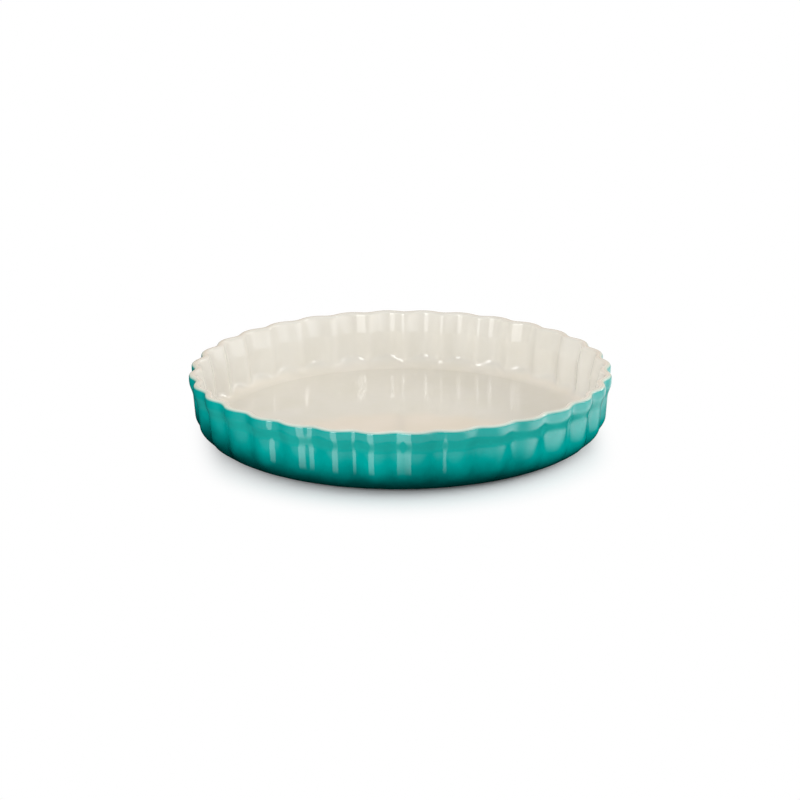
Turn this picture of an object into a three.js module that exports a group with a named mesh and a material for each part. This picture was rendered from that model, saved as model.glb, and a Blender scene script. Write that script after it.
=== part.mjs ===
// A fluted round tart dish of glazed stoneware, in millimetres, with +Z up.
// The origin is the centre of the ring that the dish stands on.
//
// The dish is one fired clay body under three coats of glaze. Cream covers the inside up to the top of
// the lip, teal covers the outside from there to the foot, and a teal disc covers the hollow underside.
// The ring of the foot stays bare, so that the dish doesn't stick to the kiln shelf.
import * as THREE from "three";
import { mergeGeometries, mergeVertices } from "three/addons/utils/BufferGeometryUtils.js";

// Overall size, over the finished glaze
const RIM_DIAMETER = 280; // outside, over the crests of the flutes
const HEIGHT = 45;

// Flutes, which run up the wall in step inside and outside
const FLUTE_COUNT = 32;
const OUTSIDE_FLUTE_DEPTH = 3.15; // crest to valley
const INSIDE_FLUTE_DEPTH = 3.7;
const CREST_FULLNESS = 0.22; // how much broader the crests are than the valleys
const FACETS_PER_FLUTE = 4;

// Wall, from the lip down
const RIM_THICKNESS = 4.8;
const LIP_FLAT = 0.4; // level strip between the lip's two roundings
const COLLAR_HEIGHT = 6.5; // upright band below the lip, outside
const COLLAR_OVERHANG = 2.5; // how far that band stands out from the waist
const COLLAR_RADIUS = 14; // rounding from the band into the flare
const WAIST_DEPTH = 13.4; // from the lip down to the waist
const WAIST_RADIUS = 16; // rounding from the flare into the wall
const WALL_THICKNESS = 5.5; // at the waist
const WALL_LEAN = 4.8; // degrees out of upright, below the waist
const BASE_CORNER_RADIUS = 16; // outside, from the wall into the underside
const FLOOR_CORNER_RADIUS = 9; // inside, from the wall into the floor

// Base
const FLOOR_HEIGHT = 7.5; // top of the floor above the table
const FOOT_DIAMETER = 230;
const FOOT_WIDTH = 7; // bare ring that the dish stands on
const FOOT_HEIGHT = 1.2; // lift of the glazed underside above the table
const UNDERSIDE_LEAN = 6.5; // degrees, rise of the underside from the foot to the corner
const GLAZE_SETBACK = 1.5; // bare clay between a coat's edge and the foot

const GLAZE_THICKNESS = 0.5;

// Steps along each rounding of the profile
const CORNER_STEPS = 2;
const LIP_STEPS = 2;
const SLIGHT_STEPS = 1;
const WELD = 1e-3; // points closer than this are one

const radians = THREE.MathUtils.degToRad;
const point = (radius, height) => new THREE.Vector2(radius, height);

// Corners of the profile, one rounded to a radius in so many steps and one left plain
const rounded = (corner, radius, steps) => ({ corner, radius, steps });
const plainCorner = (corner) => ({ corner, radius: 0, steps: 0 });

// The height-by-radius points of a profile whose corners are rounded by arcs.
function roundedProfile(start, corners, end) {
  const turns = [start, ...corners.map((c) => c.corner), end];
  const points = [start];
  corners.forEach(({ corner, radius, steps }, i) => {
    if (steps === 0) {
      points.push(corner);
      return;
    }
    const into = corner.clone().sub(turns[i]).normalize();
    const away = turns[i + 2].clone().sub(corner).normalize();
    const turn = Math.atan2(into.cross(away), into.dot(away));
    const side = Math.sign(turn);
    const tangent = radius * Math.tan(Math.abs(turn) / 2);
    const first = corner.clone().addScaledVector(into, -tangent);
    const normal = point(-into.y, into.x).multiplyScalar(side);
    const centre = first.clone().addScaledVector(normal, radius);
    const from = normal.negate().angle();
    const arc = new THREE.EllipseCurve(centre.x, centre.y, radius, radius, from, from + turn, side < 0);
    points.push(...arc.getPoints(steps));
  });
  points.push(end);
  return points;
}

// The finished surface, as a profile of mean radius and height

const rimRadius = RIM_DIAMETER / 2 - OUTSIDE_FLUTE_DEPTH / 2;
const waistRadius = rimRadius - COLLAR_OVERHANG;
const waistHeight = HEIGHT - WAIST_DEPTH;
const lean = Math.tan(radians(WALL_LEAN));
const rise = Math.tan(radians(UNDERSIDE_LEAN));
const footRadius = FOOT_DIAMETER / 2;
const lipRadius = (RIM_THICKNESS - LIP_FLAT) / 2;

// The underside starts at the edge of the teal coat and meets the line of the wall at the corner.
const underside = point(footRadius + GLAZE_SETBACK, FOOT_HEIGHT);
const cornerRun = (waistRadius - lean * (waistHeight - FOOT_HEIGHT) - underside.x) / (1 - lean * rise);
const baseCorner = point(underside.x + cornerRun, underside.y + rise * cornerRun);

// The inside wall leans like the outside one and meets the level floor.
const insideWaist = point(waistRadius - WALL_THICKNESS, waistHeight);
const floorCorner = point(insideWaist.x - lean * (waistHeight - FLOOR_HEIGHT), FLOOR_HEIGHT);

const outsideCorners = [
  rounded(baseCorner, BASE_CORNER_RADIUS, CORNER_STEPS),
  rounded(point(waistRadius, waistHeight), WAIST_RADIUS, SLIGHT_STEPS),
  rounded(point(rimRadius, HEIGHT - COLLAR_HEIGHT), COLLAR_RADIUS, SLIGHT_STEPS),
  rounded(point(rimRadius, HEIGHT), lipRadius, LIP_STEPS),
];
const insideCorners = [
  rounded(point(rimRadius - RIM_THICKNESS, HEIGHT), lipRadius, SLIGHT_STEPS),
  plainCorner(insideWaist),
  rounded(floorCorner, FLOOR_CORNER_RADIUS, CORNER_STEPS),
];
const finish = roundedProfile(underside, [...outsideCorners, ...insideCorners], point(0, FLOOR_HEIGHT));

// The coats meet on top of the lip, where its outer rounding ends, at the last point outside.
const pointsOutside = outsideCorners.reduce((count, c) => count + c.steps + 1, 1);
const coatsMeet = pointsOutside - 1;

// The height over which the flutes fade out, from a level start to their full depth at a corner's top
const fadeTop = (corner, radius, turn) => corner.y + radius * Math.tan(radians(turn) / 2);
const outsideFade = [FOOT_HEIGHT, fadeTop(baseCorner, BASE_CORNER_RADIUS, 90 - WALL_LEAN - UNDERSIDE_LEAN)];
const insideFade = [FLOOR_HEIGHT, fadeTop(floorCorner, FLOOR_CORNER_RADIUS, 90 - WALL_LEAN)];

// The flutes at each point of the profile: their full depth there, and the share of it that is left
const flutes = finish.map(({ y }, i) => {
  const outside = i <= coatsMeet;
  return {
    depth: outside ? OUTSIDE_FLUTE_DEPTH : INSIDE_FLUTE_DEPTH,
    share: THREE.MathUtils.smoothstep(y, ...(outside ? outsideFade : insideFade)),
  };
});

// The clay under the glaze: the same profile, moved in by the thickness of the coats.
const clay = finish.map((p, i) => {
  const before = finish[Math.max(i - 1, 0)];
  const after = finish[Math.min(i + 1, finish.length - 1)];
  const along = after.clone().sub(before).normalize();
  const inwards = p.x === 0 ? point(0, -1) : point(-along.y, along.x);
  return p.clone().addScaledVector(inwards, GLAZE_THICKNESS);
});

// A profile turned round the Z axis, with the given flutes at each point.
function turned(profile, flutesThere) {
  const facets = FLUTE_COUNT * FACETS_PER_FLUTE;
  const skin = new THREE.LatheGeometry(profile, facets, Math.PI / facets);
  skin.deleteAttribute("normal");
  skin.deleteAttribute("uv");
  const position = skin.getAttribute("position");
  for (let i = 0; i < position.count; i++) {
    const angle = Math.atan2(position.getX(i), position.getZ(i));
    const radius = Math.hypot(position.getX(i), position.getZ(i));
    const { depth, share } = flutesThere[i % profile.length];
    const crest = Math.cos(FLUTE_COUNT * angle) / Math.cos(Math.PI / FACETS_PER_FLUTE);
    const fluted = radius + (depth / 2) * crest * share;
    const spread = angle + (share * CREST_FULLNESS * Math.sin(FLUTE_COUNT * angle)) / FLUTE_COUNT;
    position.setX(i, fluted * Math.sin(spread));
    position.setZ(i, fluted * Math.cos(spread));
  }
  return skin.rotateX(Math.PI / 2);
}

// The same skin facing the other way, with the same triangles.
function flipped(skin) {
  const turnedOver = skin.clone();
  const { array } = turnedOver.getIndex();
  for (let i = 0; i < array.length; i += 3) [array[i], array[i + 1]] = [array[i + 1], array[i]];
  return turnedOver;
}

// Skins of the finish, of the clay, and of the edge between them at one point of the profile
const finishSkin = (from, to) => turned(finish.slice(from, to + 1), flutes.slice(from, to + 1));
const claySkin = (from, to) => turned(clay.slice(from, to + 1), flutes.slice(from, to + 1));
const coatEdge = (i) => turned([finish[i], clay[i]], [flutes[i], flutes[i]]);

// The same number of points with no flutes
const plain = (profile) => profile.map(() => ({ depth: 0, share: 0 }));

// One closed solid of skins that share their edges
const solid = (...skins) => mergeVertices(mergeGeometries(skins), WELD);

const last = finish.length - 1;
const glaze = (color) => new THREE.MeshStandardMaterial({ color, roughness: 0.12, metalness: 0 });

// Fired clay, bare only on the foot
function stonewareBody() {
  const recess = FOOT_HEIGHT + GLAZE_THICKNESS;
  const inner = footRadius - FOOT_WIDTH;
  const foot = [point(0, recess), point(inner, recess), point(inner, 0), point(footRadius, 0), clay[0]];
  return new THREE.Mesh(
    solid(turned(foot, plain(foot)), claySkin(0, last)),
    new THREE.MeshStandardMaterial({ color: 0xd9cdb8, roughness: 0.75, metalness: 0 }),
  );
}

// Teal coat, from just above the foot, over the lip's outer edge, to the top of the lip
function outerGlaze() {
  return new THREE.Mesh(
    solid(
      finishSkin(0, coatsMeet),
      coatEdge(coatsMeet),
      flipped(claySkin(0, coatsMeet)),
      flipped(coatEdge(0)),
    ),
    glaze(0x009f94),
  );
}

// Cream coat, from the top of the lip, down the inside wall and across the floor
function innerGlaze() {
  return new THREE.Mesh(
    solid(finishSkin(coatsMeet, last), flipped(claySkin(coatsMeet, last)), flipped(coatEdge(coatsMeet))),
    glaze(0xe4dfd2),
  );
}

// Teal disc under the floor, wiped back from the foot, with a rounded edge
function baseGlaze() {
  const edge = footRadius - FOOT_WIDTH - GLAZE_SETBACK;
  const disc = [
    point(0, FOOT_HEIGHT),
    point(edge - GLAZE_THICKNESS, FOOT_HEIGHT),
    point(edge, FOOT_HEIGHT + GLAZE_THICKNESS),
    point(0, FOOT_HEIGHT + GLAZE_THICKNESS),
  ];
  return new THREE.Mesh(solid(turned(disc, plain(disc))), glaze(0x00857c));
}

const dish = new THREE.Group();
const pieces = {
  stoneware_body: stonewareBody(),
  inner_glaze: innerGlaze(),
  outer_glaze: outerGlaze(),
  base_glaze: baseGlaze(),
};
for (const [name, piece] of Object.entries(pieces)) {
  piece.name = name;
  dish.add(piece);
}

export default dish;
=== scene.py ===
"""Looks of a fluted round tart dish in glazed stoneware, cream inside and teal outside.

All sizes are in metres in the part's own frame, with +Z up and the dish standing on z = 0.
"""

import logging
import math
from dataclasses import InitVar, dataclass, field
from enum import Enum
from typing import Any

import bmesh
import bpy
from mathutils import Matrix, Vector

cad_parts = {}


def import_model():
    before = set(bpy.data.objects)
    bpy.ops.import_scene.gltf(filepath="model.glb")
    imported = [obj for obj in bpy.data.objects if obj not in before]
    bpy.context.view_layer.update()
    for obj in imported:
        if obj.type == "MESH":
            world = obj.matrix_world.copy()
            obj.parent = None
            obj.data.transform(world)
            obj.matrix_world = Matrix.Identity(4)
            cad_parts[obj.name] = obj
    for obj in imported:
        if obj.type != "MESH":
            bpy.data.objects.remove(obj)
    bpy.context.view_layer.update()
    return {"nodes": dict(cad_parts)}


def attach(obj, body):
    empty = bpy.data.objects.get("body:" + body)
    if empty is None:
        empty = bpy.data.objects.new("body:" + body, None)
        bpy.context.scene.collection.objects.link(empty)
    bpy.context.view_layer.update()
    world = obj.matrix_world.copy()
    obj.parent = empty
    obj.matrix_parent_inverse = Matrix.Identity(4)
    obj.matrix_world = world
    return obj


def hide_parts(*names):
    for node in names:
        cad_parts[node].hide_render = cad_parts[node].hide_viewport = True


LOG = logging.getLogger("tart_dish")
MM = 0.001
WELD = 0.01 * MM  # points closer than this are one
UP = Vector((0, 0, 1))

# Settings that several nodes share
SMOOTH = {"interpolation_type": "SMOOTHSTEP"}
MULTIPLY = {"operation": "MULTIPLY"}
MIX_COLOURS = {"data_type": "RGBA"}
MIX_NUMBERS = {"data_type": "FLOAT"}

# Sockets of a Mix node, by place, because every data type has an A and a B of its own
MIX_SHARE = 0
COLOUR_A, COLOUR_B, COLOUR_OUT = 6, 7, 2
NUMBER_A, NUMBER_B, NUMBER_OUT = 2, 3, 0


def linear(colour: str) -> tuple[float, float, float, float]:
    """Turns an sRGB hex colour into linear light.

    Args:
        colour: Six hex digits after a hash sign.

    Returns:
        Red, green and blue in linear light, and an alpha of 1.
    """
    shares = [int(colour[i : i + 2], 16) / 255 for i in (1, 3, 5)]
    return (*[c / 12.92 if c <= 0.04045 else ((c + 0.055) / 1.055) ** 2.4 for c in shares], 1.0)


def add_node(
    tree: bpy.types.NodeTree,
    kind: str,
    settings: dict[str, Any] | None = None,
    inputs: dict[str | int, Any] | None = None,
) -> bpy.types.Node:
    """Adds a node, with its settings, and fills or links its inputs.

    Args:
        tree: The node tree of a material or of the world.
        kind: The node's type, without the ShaderNode that starts it.
        settings: Values of the node's own properties.
        inputs: For each socket, by name or place, its value or the output that it is linked to.

    Returns:
        The new node.
    """
    node = tree.nodes.new("ShaderNode" + kind)
    for name, value in (settings or {}).items():
        setattr(node, name, value)
    for key, value in (inputs or {}).items():
        if isinstance(value, bpy.types.NodeSocket):
            tree.links.new(value, node.inputs[key])
        else:
            node.inputs[key].default_value = value
    return node


def empty_tree(owner: bpy.types.Material | bpy.types.World) -> bpy.types.NodeTree:
    """Gives a material or a world an empty node tree.

    Args:
        owner: The material or the world.

    Returns:
        Its node tree.
    """
    owner.use_nodes = True
    owner.node_tree.nodes.clear()
    return owner.node_tree


def placed(name: str, mesh: bmesh.types.BMesh, material: bpy.types.Material) -> bpy.types.Object:
    """Turns a bmesh into an object of the scene.

    Args:
        name: The object's name.
        mesh: Its shape, which is freed.
        material: Its finish.

    Returns:
        The new object.
    """
    data = bpy.data.meshes.new(name)
    mesh.to_mesh(data)
    mesh.free()
    data.materials.append(material)
    piece = bpy.data.objects.new(name, data)
    bpy.context.scene.collection.objects.link(piece)
    return piece


def put_in_order(mesh: bmesh.types.BMesh) -> None:
    """Sorts edges and faces by their points, so that every run gives the same mesh.

    Args:
        mesh: The mesh, whose points already have a fixed order.
    """
    mesh.verts.index_update()
    count = len(mesh.verts)

    def rank(part: bmesh.types.BMEdge | bmesh.types.BMFace) -> int:
        """Ranks an edge or a face by its first and its last point."""
        places = [v.index for v in part.verts]
        return min(places) * count + max(places)

    mesh.edges.sort(key=rank)
    mesh.faces.sort(key=rank)


class Side(Enum):
    """The side of the wall that a skin covers."""

    OUTSIDE = "outside"
    INSIDE = "inside"


class Seen(Enum):
    """The rays that see a piece of the stage."""

    ALL_BUT_GLOSSY = "all but glossy"
    ONLY_GLOSSY = "only glossy"


@dataclass(frozen=True)
class FiredFinish:
    """What every surface that comes out of the kiln has: a sheen and a fine unevenness."""

    name: str
    roughness: float
    grain_size: float
    grain_depth: float
    grain_detail: float = 1.0
    ior: float = 1.5

    def surface(
        self, tree: bpy.types.NodeTree, place: bpy.types.NodeSocket, colour: bpy.types.NodeSocket
    ) -> None:
        """Ends a material with its unevenness and its sheen.

        Args:
            tree: The material's node tree.
            place: The output that holds the place on the object.
            colour: The output that holds the colour.
        """
        grain = add_node(
            tree,
            "TexNoise",
            inputs={"Vector": place, "Scale": 1 / self.grain_size, "Detail": self.grain_detail},
        )
        bump = add_node(
            tree, "Bump", inputs={"Distance": self.grain_depth, "Height": grain.outputs["Fac"]}
        )
        shader = add_node(
            tree,
            "BsdfPrincipled",
            inputs={
                "Base Color": colour,
                "Roughness": self.roughness,
                "IOR": self.ior,
                "Normal": bump.outputs["Normal"],
            },
        )
        add_node(tree, "OutputMaterial", inputs={"Surface": shader.outputs["BSDF"]})


@dataclass(frozen=True)
class TealGlaze(FiredFinish):
    """Sprayed gloss glaze, darker towards the base: partly its own colour, partly painted shade.

    It gives the eye a deep wet teal, bright at the rim and almost black at the base, that mirrors
    the lights in clear strips and breaks pale over the edge of the lip. The painted shade lies
    where the wall curves under towards the table. The bend under the band is painted paler, a
    painted reflection of the bright table that it mirrors. The dark base reaches higher on the left
    as painted shade, and lower on the right as painted light from that side.
    """

    name: str = "teal_gloss_glaze"
    roughness: float = 0.06
    grain_size: float = 5 * MM
    grain_depth: float = 0.02 * MM
    # Dark base colour: partly the glaze's own, partly painted shade where the wall curves under
    base: str = "#00423F"
    wall: str = "#009F98"
    # Paler teal on the bend under the band: a painted reflection of the bright table
    bend: str = "#1FA79E"
    edge: str = "#DEE1D5"
    base_glaze_and_shade_fade: tuple[float, float] = (5 * MM, 26 * MM)
    painted_reflection_rise: tuple[float, float] = (28.5 * MM, 33.0 * MM)
    painted_reflection_fall: tuple[float, float] = (36.5 * MM, 39.5 * MM)
    edge_start: tuple[float, float] = (43.3 * MM, 45.15 * MM)
    # Painted shade that raises the dark base on the left, and painted light that lowers it on the
    # right
    painted_shade_side: tuple[float, float] = (-125 * MM, -85 * MM)
    painted_shade_rise: float = 5 * MM
    painted_light_side: tuple[float, float] = (45 * MM, 125 * MM)
    painted_light_drop: float = 6 * MM
    cloud_size: float = 16 * MM
    cloud_detail: float = 3.0
    cloud_ramp: tuple[float, float] = (0.3, 0.7)
    cloud_drift: float = 1.5 * MM
    cloud_share: float = 0.06

    def material(self) -> bpy.types.Material:
        """Builds the glaze, coloured by height with a slow cloudiness.

        Returns:
            The material.
        """
        material = bpy.data.materials.new(self.name)
        tree = empty_tree(material)
        place = add_node(tree, "TexCoord").outputs["Object"]
        axes = add_node(tree, "SeparateXYZ", inputs={"Vector": place}).outputs
        height = axes["Z"]
        clouds = add_node(
            tree,
            "TexNoise",
            inputs={"Vector": place, "Scale": 1 / self.cloud_size, "Detail": self.cloud_detail},
        ).outputs["Fac"]
        drift, tone, painted_left_shade, painted_right_light = (
            add_node(
                tree,
                "MapRange",
                {"interpolation_type": kind},
                {"Value": value, "From Min": start, "From Max": end, "To Min": low, "To Max": high},
            ).outputs["Result"]
            for kind, value, (start, end), low, high in (
                ("LINEAR", clouds, self.cloud_ramp, -self.cloud_drift, self.cloud_drift),
                ("LINEAR", clouds, self.cloud_ramp, 1 - self.cloud_share, 1 + self.cloud_share),
                ("SMOOTHSTEP", axes["X"], self.painted_shade_side, -self.painted_shade_rise, 0.0),
                ("SMOOTHSTEP", axes["X"], self.painted_light_side, 0.0, self.painted_light_drop),
            )
        )
        # Height of the dark base, shifted by the clouds, by painted shade on the left and painted
        # light on the right
        level = height
        for shift in (drift, painted_left_shade, painted_right_light):
            level = add_node(tree, "Math", {"operation": "ADD"}, {0: level, 1: shift}).outputs[0]
        colour: Any = linear(self.base)
        # Dark base with its painted shade, painted reflection on the bend, pale edge of the lip
        for where, (start, end), shade in (
            (level, self.base_glaze_and_shade_fade, self.wall),
            (height, self.painted_reflection_rise, self.bend),
            (height, self.painted_reflection_fall, self.wall),
            (height, self.edge_start, self.edge),
        ):
            share = add_node(
                tree, "MapRange", SMOOTH, {"Value": where, "From Min": start, "From Max": end}
            )
            colour = add_node(
                tree,
                "Mix",
                MIX_COLOURS,
                {MIX_SHARE: share.outputs["Result"], COLOUR_A: colour, COLOUR_B: linear(shade)},
            ).outputs[COLOUR_OUT]
        clouded = add_node(tree, "HueSaturation", inputs={"Value": tone, "Color": colour})
        self.surface(tree, place, clouded.outputs["Color"])
        return material


@dataclass(frozen=True)
class CreamGlaze(FiredFinish):
    """Poured gloss glaze over the inside, up to the top of the lip.

    It gives the eye a warm off-white with a faint cloudiness and clear soft reflections, a little
    warmer where it pools on the floor.
    """

    name: str = "cream_gloss_glaze"
    roughness: float = 0.07
    grain_size: float = 6 * MM
    grain_depth: float = 0.015 * MM
    wall: tuple[str, str] = ("#EAE7DF", "#E6E2D8")
    pool: tuple[str, str] = ("#EFE9DE", "#EBE5D7")
    pool_end: tuple[float, float] = (8 * MM, 14 * MM)
    cloud_size: float = 28 * MM
    cloud_detail: float = 4.0
    cloud_ramp: tuple[float, float] = (0.3, 0.7)

    def material(self) -> bpy.types.Material:
        """Builds the glaze, each of its two colours clouded.

        Returns:
            The material.
        """
        material = bpy.data.materials.new(self.name)
        tree = empty_tree(material)
        place = add_node(tree, "TexCoord").outputs["Object"]
        height = add_node(tree, "SeparateXYZ", inputs={"Vector": place}).outputs["Z"]
        clouds = add_node(
            tree,
            "TexNoise",
            inputs={"Vector": place, "Scale": 1 / self.cloud_size, "Detail": self.cloud_detail},
        ).outputs["Fac"]
        warmth, above = (
            add_node(
                tree,
                "MapRange",
                {"interpolation_type": kind},
                {"Value": value, "From Min": start, "From Max": end},
            ).outputs["Result"]
            for kind, value, (start, end) in (
                ("LINEAR", clouds, self.cloud_ramp),
                ("SMOOTHSTEP", height, self.pool_end),
            )
        )
        pool, wall = (
            add_node(
                tree,
                "Mix",
                MIX_COLOURS,
                {MIX_SHARE: warmth, COLOUR_A: linear(light), COLOUR_B: linear(warm)},
            ).outputs[COLOUR_OUT]
            for light, warm in (self.pool, self.wall)
        )
        colour = add_node(
            tree, "Mix", MIX_COLOURS, {MIX_SHARE: above, COLOUR_A: pool, COLOUR_B: wall}
        )
        self.surface(tree, place, colour.outputs[COLOUR_OUT])
        return material


@dataclass(frozen=True)
class BareStoneware(FiredFinish):
    """Fired clay with no glaze, rubbed smooth on the foot.

    It gives the eye a matt buff with fine grit and darker specks.
    """

    name: str = "bare_fired_stoneware"
    roughness: float = 0.82
    grain_size: float = 0.9 * MM
    grain_depth: float = 0.05 * MM
    clay: str = "#D8CBB4"
    speck: str = "#A8977B"
    speck_size: float = 1.6 * MM
    speck_detail: float = 5.0
    speck_ramp: tuple[float, float] = (0.5, 0.8)

    def material(self) -> bpy.types.Material:
        """Builds the clay.

        Returns:
            The material.
        """
        material = bpy.data.materials.new(self.name)
        tree = empty_tree(material)
        place = add_node(tree, "TexCoord").outputs["Object"]
        specks = add_node(
            tree,
            "TexNoise",
            inputs={"Vector": place, "Scale": 1 / self.speck_size, "Detail": self.speck_detail},
        ).outputs["Fac"]
        start, end = self.speck_ramp
        share = add_node(
            tree, "MapRange", inputs={"Value": specks, "From Min": start, "From Max": end}
        ).outputs["Result"]
        colour = add_node(
            tree,
            "Mix",
            MIX_COLOURS,
            {MIX_SHARE: share, COLOUR_A: linear(self.clay), COLOUR_B: linear(self.speck)},
        )
        self.surface(tree, place, colour.outputs[COLOUR_OUT])
        return material


@dataclass
class SectionPen:
    """Draws half a section of the dish as a chain of edges in the XZ plane."""

    mesh: bmesh.types.BMesh
    start: InitVar[Vector]
    tip: bmesh.types.BMVert = field(init=False)

    def __post_init__(self, start: Vector) -> None:
        """Puts the pen down at the first point of the chain."""
        self.tip = self.mesh.verts.new(start)

    def line(self, end: Vector, steps: int) -> None:
        """Draws straight to a point.

        Args:
            end: Where the line stops.
            steps: How many edges it has.
        """
        stride = (end - self.tip.co) / steps
        for _ in range(steps):
            self.tip = bmesh.ops.extrude_vert_indiv(self.mesh, verts=[self.tip])["verts"][0]
            bmesh.ops.translate(self.mesh, verts=[self.tip], vec=stride)

    def arc(self, centre: Vector, axis: Vector, turn: float, steps: int) -> None:
        """Draws part of a circle.

        Args:
            centre: The circle's centre.
            axis: The circle's axis, about which the pen turns right-handed.
            turn: How far round it goes.
            steps: How many edges it has.
        """
        made = bmesh.ops.spin(
            self.mesh,
            geom=[self.tip],
            cent=centre,
            axis=axis,
            angle=turn,
            steps=steps,
            dvec=Vector(),
        )
        self.tip = next(v for v in made["geom_last"] if isinstance(v, bmesh.types.BMVert))

    def corner(self, corner: Vector, towards: Vector, radius: float, steps: int, run: int) -> None:
        """Draws to a corner and round it.

        Args:
            corner: Where the two straight lines would meet.
            towards: A point on the line that leaves the corner.
            radius: The radius of the rounding.
            steps: How many edges the rounding has.
            run: How many edges the line up to the rounding has.
        """
        into = (corner - self.tip.co).normalized()
        away = (towards - corner).normalized()
        turn = into.angle(away)
        self.line(corner - into * (radius * math.tan(turn / 2)), run)
        axis = into.cross(away).normalized()
        self.arc(self.tip.co + axis.cross(into) * radius, axis, turn, steps)


@dataclass
class DishForm:
    """The finished shape of the dish, over the glaze, and its fluting."""

    # Overall size and flutes
    rim_diameter: float = 280 * MM
    height: float = 45 * MM
    flute_count: int = 32
    outside_flute_depth: float = 3.15 * MM
    inside_flute_depth: float = 3.7 * MM
    crest_fullness: float = 0.22

    # Wall, from the lip down
    rim_thickness: float = 4.8 * MM
    lip_flat: float = 0.4 * MM
    collar_height: float = 6.5 * MM
    collar_overhang: float = 2.5 * MM
    collar_radius: float = 14 * MM
    waist_depth: float = 13.4 * MM
    waist_radius: float = 16 * MM
    wall_thickness: float = 5.5 * MM
    wall_lean: float = math.radians(4.8)
    base_corner_radius: float = 16 * MM
    floor_corner_radius: float = 9 * MM

    # Base and glaze
    floor_height: float = 7.5 * MM
    foot_diameter: float = 230 * MM
    foot_width: float = 7 * MM
    foot_height: float = 1.2 * MM
    underside_lean: float = math.radians(6.5)
    glaze_setback: float = 1.5 * MM
    glaze_thickness: float = 0.5 * MM

    # Edges along the section at a fineness of 1, but for the flats of the lip and the floor
    corner_steps: int = 5
    bend_steps: int = 2
    lip_steps: int = 4
    underside_run: int = 2
    outer_wall_run: int = 4
    inner_wall_run: int = 3
    lip_flat_run: int = 1
    floor_run: int = 4

    # What follows from those
    foot_radius: float = field(init=False)
    lip_radius: float = field(init=False)
    underside: Vector = field(init=False)
    base_corner: Vector = field(init=False)
    waist: Vector = field(init=False)
    collar: Vector = field(init=False)
    outer_lip: Vector = field(init=False)
    lip_centre: Vector = field(init=False)
    coats_meet: Vector = field(init=False)
    inner_lip: Vector = field(init=False)
    inner_waist: Vector = field(init=False)
    floor_corner: Vector = field(init=False)
    floor_middle: Vector = field(init=False)

    def __post_init__(self) -> None:
        """Works out the points that the section turns at."""
        lean, rise = math.tan(self.wall_lean), math.tan(self.underside_lean)
        rim_radius = self.rim_diameter / 2 - self.outside_flute_depth / 2
        waist_height = self.height - self.waist_depth
        wall_drop = waist_height - self.floor_height
        self.foot_radius = self.foot_diameter / 2
        self.lip_radius = (self.rim_thickness - self.lip_flat) / 2
        self.waist = Vector((rim_radius - self.collar_overhang, 0, waist_height))
        self.underside = Vector((self.foot_radius + self.glaze_setback, 0, self.foot_height))
        run = self.waist.x - lean * (waist_height - self.foot_height) - self.underside.x
        self.base_corner = self.underside + Vector((1, 0, rise)) * (run / (1 - lean * rise))
        self.collar = Vector((rim_radius, 0, self.height - self.collar_height))
        self.outer_lip = Vector((rim_radius, 0, self.height))
        self.inner_lip = Vector((rim_radius - self.rim_thickness, 0, self.height))
        self.inner_waist = self.waist - Vector((self.wall_thickness, 0, 0))
        self.floor_corner = self.inner_waist - Vector((lean, 0, 1)) * wall_drop
        self.floor_middle = Vector((0, 0, self.floor_height))
        self.lip_centre = self.outer_lip - Vector((self.lip_radius, 0, self.lip_radius))
        self.coats_meet = self.lip_centre + Vector((0, 0, self.lip_radius))

    def add_skin(self, mesh: bmesh.types.BMesh, side: Side, fineness: int, facets: int) -> None:
        """Draws one side of the section, turns it round the axis and flutes it.

        Args:
            mesh: The mesh that the skin is added to.
            side: Which side of the wall.
            fineness: How finely the section is divided.
            facets: How many facets each flute has.
        """
        old = set(mesh.verts)
        if side is Side.OUTSIDE:
            self.draw_outside(mesh, fineness)
        else:
            self.draw_inside(mesh, fineness)
        chain = [v for v in mesh.verts if v not in old]
        edges = dict.fromkeys(e for v in chain for e in v.link_edges)
        bmesh.ops.spin(
            mesh,
            geom=[*chain, *edges],
            cent=Vector(),
            axis=UP,
            angle=math.tau,
            steps=self.flute_count * facets,
            use_merge=True,
            dvec=Vector(),
        )
        turned = [v for v in mesh.verts if v not in old]
        bmesh.ops.remove_doubles(mesh, verts=turned, dist=WELD)
        put_in_order(mesh)
        self.flute([v for v in mesh.verts if v not in old], side)

    def draw_outside(self, mesh: bmesh.types.BMesh, fineness: int) -> None:
        """Draws the section from the foot up to where the two coats meet.

        Args:
            mesh: The mesh that is drawn in.
            fineness: How finely the section is divided.
        """
        corner, bend = self.corner_steps * fineness, self.bend_steps * fineness
        under, wall = self.underside_run * fineness, self.outer_wall_run * fineness
        pen = SectionPen(mesh, self.underside)
        pen.corner(self.base_corner, self.waist, self.base_corner_radius, corner, under)
        pen.corner(self.waist, self.collar, self.waist_radius, bend, wall)
        pen.corner(self.collar, self.outer_lip, self.collar_radius, bend, fineness)
        pen.line(self.outer_lip - Vector((0, 0, self.lip_radius)), fineness)
        pen.arc(self.lip_centre, Vector((0, -1, 0)), math.pi / 2, self.lip_steps * fineness)

    def draw_inside(self, mesh: bmesh.types.BMesh, fineness: int) -> None:
        """Draws the section from where the two coats meet down to the middle of the floor.

        Args:
            mesh: The mesh that is drawn in.
            fineness: How finely the section is divided.
        """
        corner, bend = self.corner_steps * fineness, self.bend_steps * fineness
        lip, wall = self.lip_steps * fineness, self.inner_wall_run * fineness
        pen = SectionPen(mesh, self.coats_meet)
        pen.corner(self.inner_lip, self.inner_waist, self.lip_radius, lip, self.lip_flat_run)
        pen.corner(self.inner_waist, self.floor_corner, self.waist_radius, bend, wall)
        pen.corner(self.floor_corner, self.floor_middle, self.floor_corner_radius, corner, wall)
        pen.line(self.floor_middle, self.floor_run)

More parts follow.
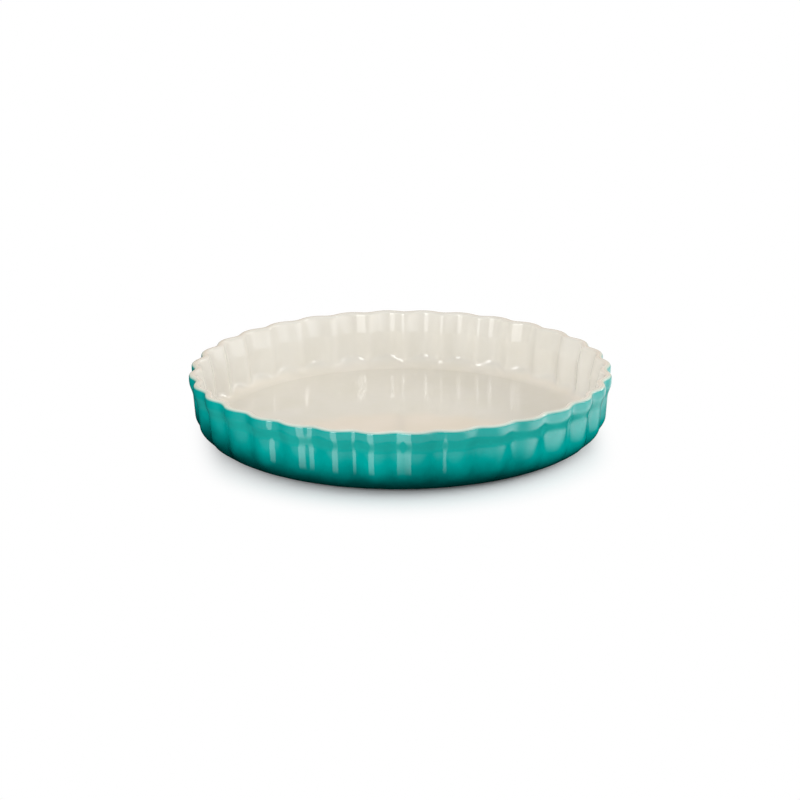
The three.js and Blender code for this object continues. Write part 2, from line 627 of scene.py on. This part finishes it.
    def flute(self, verts: list[bmesh.types.BMVert], side: Side) -> None:
        """Waves a turned skin in and out, fading towards the base.

        Args:
            verts: The skin's points.
            side: Which side of the wall it covers.
        """
        if side is Side.OUTSIDE:
            start = self.foot_height
            end = self.corner_top(self.base_corner, self.base_corner_radius, self.underside_lean)
        else:
            start = self.floor_height
            end = self.corner_top(self.floor_corner, self.floor_corner_radius, 0)
        for vert in verts:
            angle = math.atan2(vert.co.y, vert.co.x)
            turn = self.flute_count * angle
            crest = math.cos(turn - self.crest_fullness * math.sin(turn))
            share = min(max((vert.co.z - start) / (end - start), 0), 1)
            # A smooth step, so that the flutes end without a crease
            share *= share * (3 - 2 * share)
            push = share * crest * self.flute_depth(vert.co.xy.length, side) / 2
            vert.co += Vector((math.cos(angle), math.sin(angle), 0)) * push

    def flute_depth(self, reach: float, side: Side) -> float:
        """Gives the depth of the flutes, which grows over the lip towards the inside.

        Args:
            reach: The distance from the axis.
            side: Which side of the wall.

        Returns:
            The depth from crest to valley.
        """
        if side is Side.OUTSIDE:
            return self.outside_flute_depth
        share = (self.coats_meet.x - reach) / (self.coats_meet.x - self.inner_lip.x)
        share = min(max(share, 0), 1)
        growth = self.inside_flute_depth - self.outside_flute_depth
        return self.outside_flute_depth + share * growth

    def corner_top(self, corner: Vector, radius: float, lean: float) -> float:
        """Gives the height where the rounding of a corner ends on the wall.

        Args:
            corner: The corner between the wall and the base.
            radius: The radius of the rounding.
            lean: How far the base rises out of level.

        Returns:
            The height.
        """
        return corner.z + radius * math.tan((math.pi / 2 - self.wall_lean - lean) / 2)


def finish_piece(
    name: str, mesh: bmesh.types.BMesh, material: bpy.types.Material, node: str
) -> None:
    """Turns a bmesh into a smooth piece of the dish that stands for a node.

    Args:
        name: The piece's name.
        mesh: Its shape, which is freed.
        material: Its finish.
        node: The node that it stands for.
    """
    put_in_order(mesh)
    for face in mesh.faces:
        face.smooth = True
    piece = placed(name, mesh, material)
    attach(piece, "root")
    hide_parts(node)
    LOG.info("%s: %d faces", name, len(piece.data.polygons))


@dataclass
class GlazeCoats:
    """The three coats of glaze on the dish."""

    form: DishForm
    fineness: int = 3
    facets: int = 20
    disc_segments: int = 256
    disc_edge_share: float = 0.9
    disc_edge_steps: int = 3
    teal: TealGlaze = TealGlaze()
    thin_teal: TealGlaze = TealGlaze(name="thin_teal_gloss_glaze", base="#00857C")
    cream: CreamGlaze = CreamGlaze()

    def build(self) -> None:
        """Builds the outer, inner and base coats."""
        teal, thin_teal, cream = (
            finish.material() for finish in (self.teal, self.thin_teal, self.cream)
        )
        finish_piece("outer_coat", self.coat(Side.OUTSIDE), teal, "outer_glaze")
        finish_piece("inner_coat", self.coat(Side.INSIDE), cream, "inner_glaze")
        finish_piece("base_coat", self.base_disc(), thin_teal, "base_glaze")

    def coat(self, side: Side) -> bmesh.types.BMesh:
        """Gives one side of the dish a coat with its real thickness.

        Args:
            side: The side that it covers.

        Returns:
            The closed coat.
        """
        mesh = bmesh.new()
        self.form.add_skin(mesh, side, self.fineness, self.facets)
        bmesh.ops.recalc_face_normals(mesh, faces=mesh.faces)
        bmesh.ops.solidify(mesh, geom=mesh.faces[:], thickness=self.form.glaze_thickness)
        return mesh

    def base_disc(self) -> bmesh.types.BMesh:
        """Makes the coat on the hollow underside, with a soft edge.

        Returns:
            The closed disc.
        """
        form = self.form
        mesh = bmesh.new()
        bmesh.ops.create_circle(
            mesh,
            cap_ends=True,
            segments=self.disc_segments,
            radius=form.foot_radius - form.foot_width - form.glaze_setback,
            matrix=Matrix.Translation((0, 0, form.foot_height + form.glaze_thickness)),
        )
        made = bmesh.ops.extrude_face_region(mesh, geom=mesh.faces[:])["geom"]
        lower = [g for g in made if isinstance(g, bmesh.types.BMVert)]
        bmesh.ops.translate(mesh, verts=lower, vec=Vector((0, 0, -form.glaze_thickness)))
        bmesh.ops.bevel(
            mesh,
            geom=[g for g in made if isinstance(g, bmesh.types.BMEdge)],
            offset=form.glaze_thickness * self.disc_edge_share,
            segments=self.disc_edge_steps,
            profile=0.5,
            affect="EDGES",
            material=-1,
        )
        bmesh.ops.recalc_face_normals(mesh, faces=mesh.faces)
        return mesh


@dataclass
class ClayBody:
    """The fired clay under the glaze, bare only on its foot ring."""

    form: DishForm
    fineness: int = 1
    facets: int = 8
    foot_edge: float = 0.4 * MM
    clay: BareStoneware = BareStoneware()

    def build(self) -> None:
        """Builds the clay inside the coats, and its foot."""
        form = self.form
        mesh = bmesh.new()
        for side in Side:
            form.add_skin(mesh, side, self.fineness, self.facets)
        bmesh.ops.remove_doubles(mesh, verts=mesh.verts, dist=WELD)
        bmesh.ops.recalc_face_normals(mesh, faces=mesh.faces)
        mesh.normal_update()
        for vert in mesh.verts:
            vert.co -= vert.normal * form.glaze_thickness
        inner = form.foot_radius - form.foot_width
        loop = [e for e in mesh.edges if e.is_boundary]
        for radius, height in (
            (form.foot_radius + self.foot_edge, form.foot_height),
            (form.foot_radius, self.foot_edge),
            (form.foot_radius - self.foot_edge, 0.0),
            (inner + self.foot_edge, 0.0),
            (inner, self.foot_edge),
            (inner, form.foot_height + form.glaze_thickness),
        ):
            loop = self.extend(mesh, loop, radius, height)
        bmesh.ops.contextual_create(mesh, geom=loop)
        bmesh.ops.recalc_face_normals(mesh, faces=mesh.faces)
        finish_piece("clay_body", mesh, self.clay.material(), "stoneware_body")

    @staticmethod
    def extend(
        mesh: bmesh.types.BMesh, loop: list[bmesh.types.BMEdge], radius: float, height: float
    ) -> list[bmesh.types.BMEdge]:
        """Extrudes an open loop to a plain circle.

        Args:
            mesh: The mesh that is extended.
            loop: The open loop's edges.
            radius: The circle's radius.
            height: The circle's height.

        Returns:
            The new open loop's edges.
        """
        made = bmesh.ops.extrude_edge_only(mesh, edges=loop)["geom"]
        for vert in (g for g in made if isinstance(g, bmesh.types.BMVert)):
            turn = math.atan2(vert.co.y, vert.co.x)
            vert.co = (radius * math.cos(turn), radius * math.sin(turn), height)
        return [g for g in made if isinstance(g, bmesh.types.BMEdge) and g.is_boundary]


def set_stage(
    name: str, mesh: bmesh.types.BMesh, material: bpy.types.Material, seen: Seen
) -> bpy.types.Object:
    """Puts a piece of the stage into the scene.

    Args:
        name: The piece's name.
        mesh: Its shape, which is freed.
        material: Its finish.
        seen: Which rays see it.

    Returns:
        The new object.
    """
    piece = placed(name, mesh, material)
    glossy = seen is Seen.ONLY_GLOSSY
    piece.visible_glossy = glossy
    piece.visible_camera = not glossy
    piece.visible_diffuse = not glossy
    piece.visible_shadow = not glossy
    piece.visible_transmission = not glossy
    return piece


@dataclass(frozen=True)
class GlowCard:
    """A bright sheet round the dish that shows only in its gloss.

    Its section runs straight from start to end, each a reach from the axis and a height. Azimuths
    are in degrees from the camera's side, positive to the right. The glow rises from nothing
    between the first two and falls to nothing between the last two. A fade also makes it rise
    between two reaches, and a shade darkens what lies behind the card, less and less between two
    reaches.
    """

    name: str
    start: tuple[float, float]
    end: tuple[float, float]
    azimuths: tuple[float, float, float, float]
    strength: float
    fade: tuple[float, float] | None = None
    shade: tuple[float, float] | None = None
    tint: str = "#FFFFFF"
    steps: int = 36

    def build(self, turn: float) -> None:
        """Builds the card as part of a turned sheet.

        Args:
            turn: The camera's turn about the dish.
        """
        first, _, _, last = self.azimuths
        mesh = bmesh.new()
        # The camera's side is -Y, a quarter turn back from +X
        facing = Matrix.Rotation(math.radians(first - 90), 3, "Z")
        ends = [
            mesh.verts.new(facing @ Vector((reach, 0, height)))
            for reach, height in (self.start, self.end)
        ]
        bmesh.ops.spin(
            mesh,
            geom=[*ends, mesh.edges.new(ends)],
            cent=Vector(),
            axis=UP,
            angle=math.radians(last - first),
            steps=self.steps,
            dvec=Vector(),
        )
        card = set_stage(self.name, mesh, self.material(), Seen.ONLY_GLOSSY)
        card.rotation_euler.z = turn

    def material(self) -> bpy.types.Material:
        """Builds the glow, and the shade if there is one.

        Returns:
            The material.
        """
        material = bpy.data.materials.new(self.name)
        tree = empty_tree(material)
        place = add_node(tree, "TexCoord").outputs["Object"]
        axes = add_node(tree, "SeparateXYZ", inputs={"Vector": place}).outputs
        front = add_node(tree, "Math", MULTIPLY, {0: axes["Y"], 1: -1.0}).outputs[0]
        azimuth = add_node(
            tree, "Math", {"operation": "ARCTAN2"}, {0: axes["X"], 1: front}
        ).outputs[0]
        reach = add_node(tree, "VectorMath", {"operation": "LENGTH"}, {0: place}).outputs["Value"]
        rise_start, rise_end, fall_start, fall_end = (math.radians(a) for a in self.azimuths)
        ramps = [
            (azimuth, rise_start, rise_end, 0.0, 1.0),
            (azimuth, fall_start, fall_end, 1.0, 0.0),
        ]
        if self.fade:
            ramps.append((reach, *self.fade, 0.0, 1.0))
        strength: Any = self.strength
        for value, start, end, low, high in ramps:
            ramp = add_node(
                tree,
                "MapRange",
                SMOOTH,
                {"Value": value, "From Min": start, "From Max": end, "To Min": low, "To Max": high},
            )
            strength = add_node(
                tree, "Math", MULTIPLY, {0: ramp.outputs["Result"], 1: strength}
            ).outputs[0]
        glow = add_node(
            tree, "Emission", inputs={"Color": linear(self.tint), "Strength": strength}
        )
        veil: Any = (1, 1, 1, 1)
        if self.shade:
            start, end = self.shade
            veil = add_node(
                tree, "MapRange", SMOOTH, {"Value": reach, "From Min": start, "From Max": end}
            ).outputs["Result"]
        clear = add_node(tree, "BsdfTransparent", inputs={"Color": veil})
        both = add_node(
            tree, "AddShader", inputs={0: glow.outputs["Emission"], 1: clear.outputs["BSDF"]}
        )
        add_node(tree, "OutputMaterial", inputs={"Surface": both.outputs["Shader"]})
        material.cycles.emission_sampling = "NONE"
        return material


@dataclass(frozen=True)
class Softbox:
    """A lamp that points at the dish, placed by azimuth and elevation in degrees."""

    name: str
    azimuth: float
    elevation: float
    distance: float
    width: float
    height: float
    power: float

    def build(self, turn: float) -> None:
        """Hangs the lamp.

        Args:
            turn: The camera's turn about the dish.
        """
        data = bpy.data.lights.new(self.name, "AREA")
        data.shape = "RECTANGLE"
        data.size, data.size_y = self.width, self.height
        data.energy = self.power
        lamp = bpy.data.objects.new(self.name, data)
        azimuth, elevation = turn + math.radians(self.azimuth), math.radians(self.elevation)
        level = self.distance * math.cos(elevation)
        lamp.location = (
            level * math.sin(azimuth),
            -level * math.cos(azimuth),
            self.distance * math.sin(elevation),
        )
        lamp.rotation_euler = (-lamp.location).to_track_quat("-Z", "Y").to_euler()
        lamp.visible_glossy = lamp.visible_camera = False
        bpy.context.scene.collection.objects.link(lamp)


# Lamps that light the dish and don't show in its gloss
LAMPS = (
    Softbox("front_softbox", -12, 22, distance=2.5, width=1.8, height=0.8, power=24.0),
    Softbox("left_softbox", -66, 10, distance=2.2, width=1.2, height=0.5, power=7.0),
    Softbox("right_softbox", 82, 26, distance=2.2, width=1.4, height=0.8, power=9.0),
    Softbox("back_right_softbox", 115, 25, distance=2.2, width=1.4, height=0.8, power=8.5),
    Softbox("low_front_panel", -25, 2.4, distance=0.7, width=0.7, height=0.05, power=1.0),
    Softbox("low_right_panel", 72, 1.2, distance=0.3, width=0.36, height=0.02, power=0.24),
)

# Spans of azimuth that two cards share, or that go all the way round
LEFT_WINDOW_SPAN = (-41.2, -39.2, -16.2, -14.2)
FULL_SPAN = (-180, -179.9, 179.9, 180)
ROOM_TINT = "#FFE2C4"

# Cards that show only in the gloss: windows and walls round the dish
WALL_CARDS = (
    GlowCard("left_strip", (2.0, -3.6), (2.0, 1.5), LEFT_WINDOW_SPAN, strength=2.9),
    GlowCard("left_window", (2.05, 0.5), (2.05, 1.6), LEFT_WINDOW_SPAN, strength=5.0),
    GlowCard(
        "room_left", (2.2, 0), (2.2, 3.5), (-180, -179.9, -125, -90), strength=0.95, tint=ROOM_TINT
    ),
    GlowCard(
        "room_right", (2.2, 0), (2.2, 3.5), (90, 125, 179.9, 180), strength=0.95, tint=ROOM_TINT
    ),
    GlowCard("right_window", (2.05, 0.81), (2.05, 0.9), (40, 60, 110, 150), strength=14.0),
    GlowCard("right_sheet", (2.0, 0), (2.0, 0.48), (-5, 55, 80, 150), strength=2.1),
)

# Cards that lie on the table: bright ones outside the dish's shadow, and the shadow itself
TABLE_CARDS = (
    GlowCard(
        "front_table",
        (0.15, 0),
        (1.5, 0),
        (-80, -25, 92, 140),
        strength=0.85,
        fade=(0.176, 0.192),
    ),
    GlowCard(
        "right_table",
        (0.15, 0.001),
        (1.5, 0.001),
        (28, 50, 58, 76),
        strength=2.2,
        fade=(0.163, 0.181),
    ),
    GlowCard(
        "side_table",
        (0.15, 0.003),
        (1.5, 0.003),
        (58, 74, 80, 100),
        strength=1.35,
        fade=(0.154, 0.172),
    ),
    GlowCard(
        "back_table",
        (0.12, 0.002),
        (1.5, 0.002),
        (88, 118, 179.9, 180),
        strength=0.9,
        fade=(0.122, 0.15),
    ),
    GlowCard(
        "back_left_table",
        (0.12, 0.002),
        (1.5, 0.002),
        (-180, -179.9, -179.8, -145),
        strength=0.9,
        fade=(0.122, 0.15),
    ),
    GlowCard(
        "own_shade", (0.1, -0.001), (0.6, -0.001), FULL_SPAN, strength=0.0, shade=(0.15, 0.188)
    ),
)


@dataclass
class Studio:
    """The ground, the room, the lamps, the cards and the camera."""

    form: DishForm
    lamps: tuple[Softbox, ...] = LAMPS
    cards: tuple[GlowCard, ...] = WALL_CARDS + TABLE_CARDS

    # Camera, aimed at the middle of the rim and then moved aside and down
    turn: float = math.radians(-4.1)
    elevation: float = math.radians(17.47)
    roll: float = math.radians(-0.34)
    distance: float = 2.57
    drop: float = 21.1 * MM
    aside: float = -0.36 * MM
    lens: float = 174.8
    sensor_width: float = 36.0

    # Ground, whose shadow turns to white between two reaches and between two distances aside
    ground_size: float = 16.0
    ground_bounce: float = 0.3
    ground_colour: str = "#F4FAFC"
    white_reach: tuple[float, float] = (0.116, 0.178)
    white_stretch: float = 1.13
    white_aside: tuple[float, float] = (0.118, 0.143)

    # Room
    fill: float = 0.58
    gloss_fill: float = 0.008

    def build(self) -> None:
        """Builds the whole stage."""
        bpy.context.scene.view_settings.view_transform = "Standard"
        self.build_ground()
        self.build_room()
        for piece in (*self.lamps, *self.cards):
            piece.build(self.turn)
        self.build_camera()

    def build_ground(self) -> None:
        """Lays a wide ground that is plain white to the camera, but for the dish's shadow."""
        mesh = bmesh.new()
        bmesh.ops.create_grid(mesh, x_segments=1, y_segments=1, size=self.ground_size / 2)
        material = bpy.data.materials.new("white_ground")
        tree = empty_tree(material)
        camera = add_node(tree, "LightPath").outputs["Is Camera Ray"]
        place = add_node(tree, "TexCoord").outputs["Object"]
        spread = add_node(tree, "VectorMath", MULTIPLY, {0: place, 1: (self.white_stretch, 1, 1)})
        reach = add_node(
            tree, "VectorMath", {"operation": "LENGTH"}, {0: spread.outputs["Vector"]}
        ).outputs["Value"]
        across = add_node(tree, "SeparateXYZ", inputs={"Vector": place}).outputs["X"]
        aside = add_node(tree, "Math", {"operation": "ABSOLUTE"}, {0: across}).outputs[0]
        shaded: Any = 1.0
        for value, (start, end) in ((reach, self.white_reach), (aside, self.white_aside)):
            ramp = add_node(
                tree,
                "MapRange",
                SMOOTH,
                {"Value": value, "From Min": start, "From Max": end, "To Min": 1.0, "To Max": 0.0},
            )
            shaded = add_node(
                tree, "Math", MULTIPLY, {0: ramp.outputs["Result"], 1: shaded}
            ).outputs[0]
        bounce = (*[self.ground_bounce] * 3, 1)
        tone = add_node(
            tree,
            "Mix",
            MIX_COLOURS,
            {MIX_SHARE: camera, COLOUR_A: bounce, COLOUR_B: linear(self.ground_colour)},
        )
        lit = add_node(tree, "BsdfDiffuse", inputs={"Color": tone.outputs[COLOUR_OUT]})
        white = add_node(tree, "Emission")
        share = add_node(
            tree, "Mix", MIX_NUMBERS, {MIX_SHARE: shaded, NUMBER_A: camera, NUMBER_B: 0.0}
        )
        both = add_node(
            tree,
            "MixShader",
            inputs={
                0: share.outputs[NUMBER_OUT],
                1: lit.outputs["BSDF"],
                2: white.outputs["Emission"],
            },
        )
        add_node(tree, "OutputMaterial", inputs={"Surface": both.outputs["Shader"]})
        material.cycles.emission_sampling = "NONE"
        set_stage("ground", mesh, material, Seen.ALL_BUT_GLOSSY)

    def build_room(self) -> None:
        """Fills the room with even light, white to the camera and dark in the gloss."""
        world = bpy.data.worlds.new("room")
        bpy.context.scene.world = world
        tree = empty_tree(world)
        path = add_node(tree, "LightPath").outputs
        strength: Any = self.fill
        for ray, level in (("Is Glossy Ray", self.gloss_fill), ("Is Camera Ray", 1.0)):
            strength = add_node(
                tree,
                "Mix",
                MIX_NUMBERS,
                {MIX_SHARE: path[ray], NUMBER_A: strength, NUMBER_B: level},
            ).outputs[NUMBER_OUT]
        shader = add_node(
            tree, "Background", inputs={"Color": (1, 1, 1, 1), "Strength": strength}
        )
        add_node(tree, "OutputWorld", inputs={"Surface": shader.outputs["Background"]})

    def build_camera(self) -> None:
        """Stands the camera at the photograph's viewing angle."""
        data = bpy.data.cameras.new("camera")
        data.lens = self.lens
        data.sensor_width = self.sensor_width
        camera = bpy.data.objects.new("camera", data)
        tilt = Matrix.Rotation(self.turn, 4, "Z")
        tilt = tilt @ Matrix.Rotation(math.pi / 2 - self.elevation, 4, "X")
        tilt = tilt @ Matrix.Rotation(self.roll, 4, "Z")
        offset = tilt @ Vector((self.aside, -self.drop, self.distance))
        camera.matrix_world = Matrix.Translation(UP * self.form.height + offset) @ tilt
        bpy.context.scene.collection.objects.link(camera)
        bpy.context.scene.camera = camera


def main() -> None:
    """Builds the dish and its stage, and logs how many nodes the frame has."""
    logging.basicConfig(level=logging.INFO, format="%(name)s: %(message)s")
    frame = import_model()
    LOG.info("nodes of the frame: %d", len(frame["nodes"]))
    form = DishForm()
    ClayBody(form).build()
    GlazeCoats(form).build()
    Studio(form).build()


if __name__ == "__main__":
    main()
